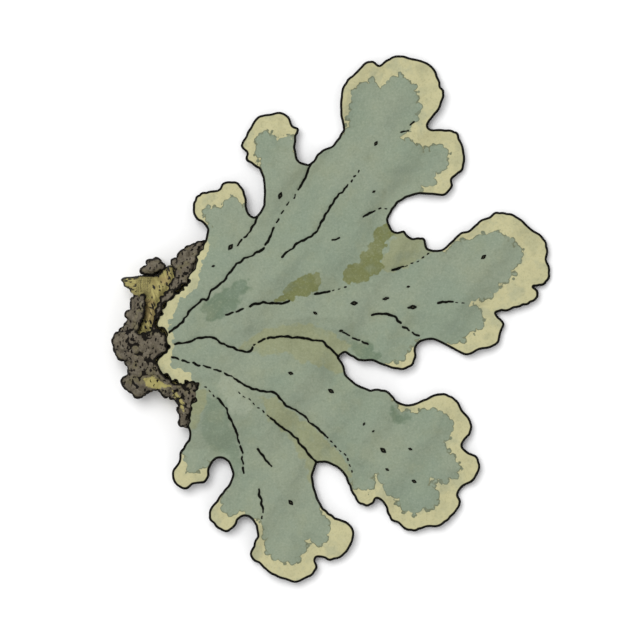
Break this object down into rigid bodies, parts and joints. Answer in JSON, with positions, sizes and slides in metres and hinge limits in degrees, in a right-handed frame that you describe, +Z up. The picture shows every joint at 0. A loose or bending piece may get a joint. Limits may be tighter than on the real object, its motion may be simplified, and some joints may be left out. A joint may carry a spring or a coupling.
{
  "type": "lichen on a twig",
  "caption": "Leafy grey-green lichen with rounded, pale-rimmed lobes fanning out from a short stub of gnarled twig with broken bark.",
  "frame": {"origin": "middle of the footprint, on the surface the twig and the lobe tips rest on", "axes": "+Z up; +Y from the lowest lobe towards the crown lobe; +X from the twig towards the tip of the widest lobe"},
  "size_m": [0.0664, 0.08, 0.0086],
  "materials": {
    "thallus": "matte",
    "frill_thallus": "matte",
    "bark": "matte",
    "bare_wood": "matte"
  },
  "bodies": {
    "root": {"lobe_shoulder": "thallus", "lobe_upper": "thallus", "lobe_crown": "thallus", "lobelet_frill": "frill_thallus", "lobe_right": "thallus", "lobe_lower_right": "thallus", "lobe_bottom": "thallus", "lobe_heel": "thallus", "twig_wood": "bare_wood", "twig_bark": "bark", "bark_burr": "bark"}
  },
  "joints": []
}
